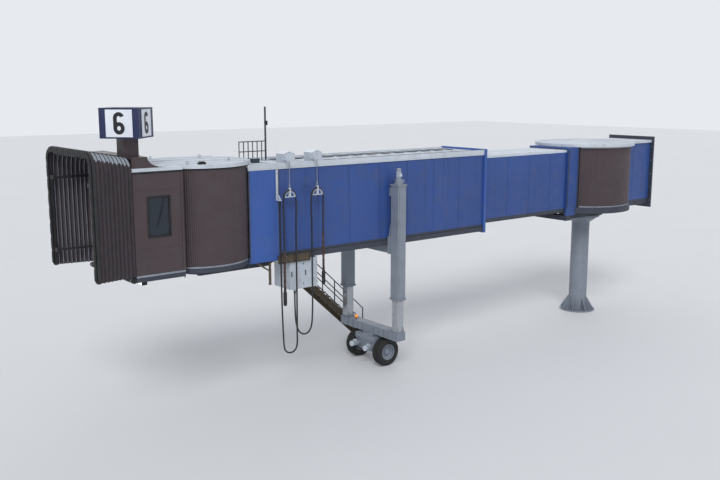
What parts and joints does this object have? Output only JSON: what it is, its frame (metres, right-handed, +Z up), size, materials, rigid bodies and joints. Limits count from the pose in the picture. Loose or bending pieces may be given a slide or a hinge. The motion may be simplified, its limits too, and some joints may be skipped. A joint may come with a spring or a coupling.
{
  "type": "jet bridge",
  "caption": "Apron drive boarding bridge: rotunda on a column, two telescoping tunnels, lift carriage, turning cab with canopy, stairs and power cables.",
  "frame": {"origin": "middle of the column's base plate, on the ground", "axes": "+X from the terminal to the aircraft along the tunnels as docked, +Y to the left when facing the aircraft, +Z up"},
  "size_m": [25.9112, 4.63, 9.15],
  "materials": {
    "blue_paint": "satin",
    "panel_blue": "satin",
    "roof_grey": "matte",
    "frame_dark": "matte",
    "steel_grey": "satin",
    "leg_chrome": "satin",
    "galvanised": "matte",
    "equipment_grey": "satin",
    "stair_olive": "matte",
    "curtain_bronze": "satin",
    "canopy_cloth": "matte",
    "canopy_frame": "matte",
    "rubber_black": "matte",
    "tyre": "matte",
    "cable_black": "matte",
    "sleeve_brown": "matte",
    "sign_box": "satin",
    "glass": "gloss"
  },
  "bodies": {
    "rotunda": {"column": "steel_grey", "rotunda_floor": "frame_dark", "rotunda_roof": "roof_grey", "corridor_walls": "blue_paint", "terminal_flange": "frame_dark", "rotunda_curtains": "curtain_bronze"},
    "swing_frame": {"swing_ring": "frame_dark", "swing_portal": "blue_paint"},
    "inner_tunnel": {"inner_floor": "frame_dark", "inner_walls": "blue_paint", "inner_roof": "roof_grey", "floor_ramp": "frame_dark"},
    "outer_tunnel": {"outer_floor": "frame_dark", "outer_wall_left": "blue_paint", "outer_wall_right": "blue_paint", "outer_roof": "roof_grey", "end_panels": "panel_blue", "rear_frame": "panel_blue", "cab_carrier": "frame_dark", "service_door": "panel_blue", "landing": "stair_olive", "landing_rails": "frame_dark", "cable_hoists": "equipment_grey", "roof_fittings": "frame_dark", "power_cabinet": "equipment_grey", "utility_bracket": "stair_olive", "ground_power_cable_front": "cable_black", "ground_power_cable_rear": "cable_black", "power_plugs": "sleeve_brown", "drive_beam": "steel_grey", "upper_legs": "steel_grey"},
    "lift_carriage": {"lower_legs": "leg_chrome", "carriage_beam": "steel_grey", "bogie": "steel_grey", "tyres": "tyre"},
    "cab": {"cab_floor": "frame_dark", "cab_roof": "roof_grey", "cab_walls": "curtain_bronze", "cab_glass": "glass", "cab_hood": "curtain_bronze", "cab_bumper": "rubber_black", "cab_curtains": "curtain_bronze", "sign": "sign_box"},
    "canopy": {"canopy_bellows": "canopy_cloth", "canopy_front": "canopy_frame"},
    "stair_flight": {"stairs": "stair_olive", "stair_rails": "frame_dark"}
  },
  "joints": [
    {"name": "rotunda_swing", "type": "hinge", "parent": "rotunda", "child": "swing_frame", "pos_m": [0, 0, 4.4], "axis": [0, 0, 1], "range_deg": [-87.5, 87.5], "deforming": ["rotunda_curtains"]},
    {"name": "tunnel_tilt", "type": "hinge", "parent": "swing_frame", "child": "inner_tunnel", "pos_m": [2.2, 0, 4.56], "axis": [0, 1, 0], "range_deg": [-2, 4]},
    {"name": "telescope", "type": "slide", "parent": "inner_tunnel", "child": "outer_tunnel", "axis": [1, 0, 0], "range_m": [-3.6, 3]},
    {"name": "leg_lift", "type": "slide", "parent": "outer_tunnel", "child": "lift_carriage", "axis": [0, 0, 1], "range_m": [-0.35, 0.7]},
    {"name": "stair_tilt", "type": "hinge", "parent": "outer_tunnel", "child": "stair_flight", "pos_m": [15.13, 0, 4.5], "axis": [0, 1, 0], "range_deg": [-4, 8]},
    {"name": "cab_rotate", "type": "hinge", "parent": "outer_tunnel", "child": "cab", "pos_m": [18.6412, 0, 4.4], "axis": [0, 0, 1], "range_deg": [-32.5, 90], "deforming": ["cab_curtains"]},
    {"name": "canopy_extend", "type": "slide", "parent": "cab", "child": "canopy", "axis": [1, 0, 0], "range_m": [-0.6, 0.1], "deforming": ["canopy_bellows"]}
  ],
  "couplings": [
    {"joint": "leg_lift", "follows": "tunnel_tilt", "m_per_rad": 9.6},
    {"joint": "stair_tilt", "follows": "tunnel_tilt", "ratio": 1.7}
  ]
}
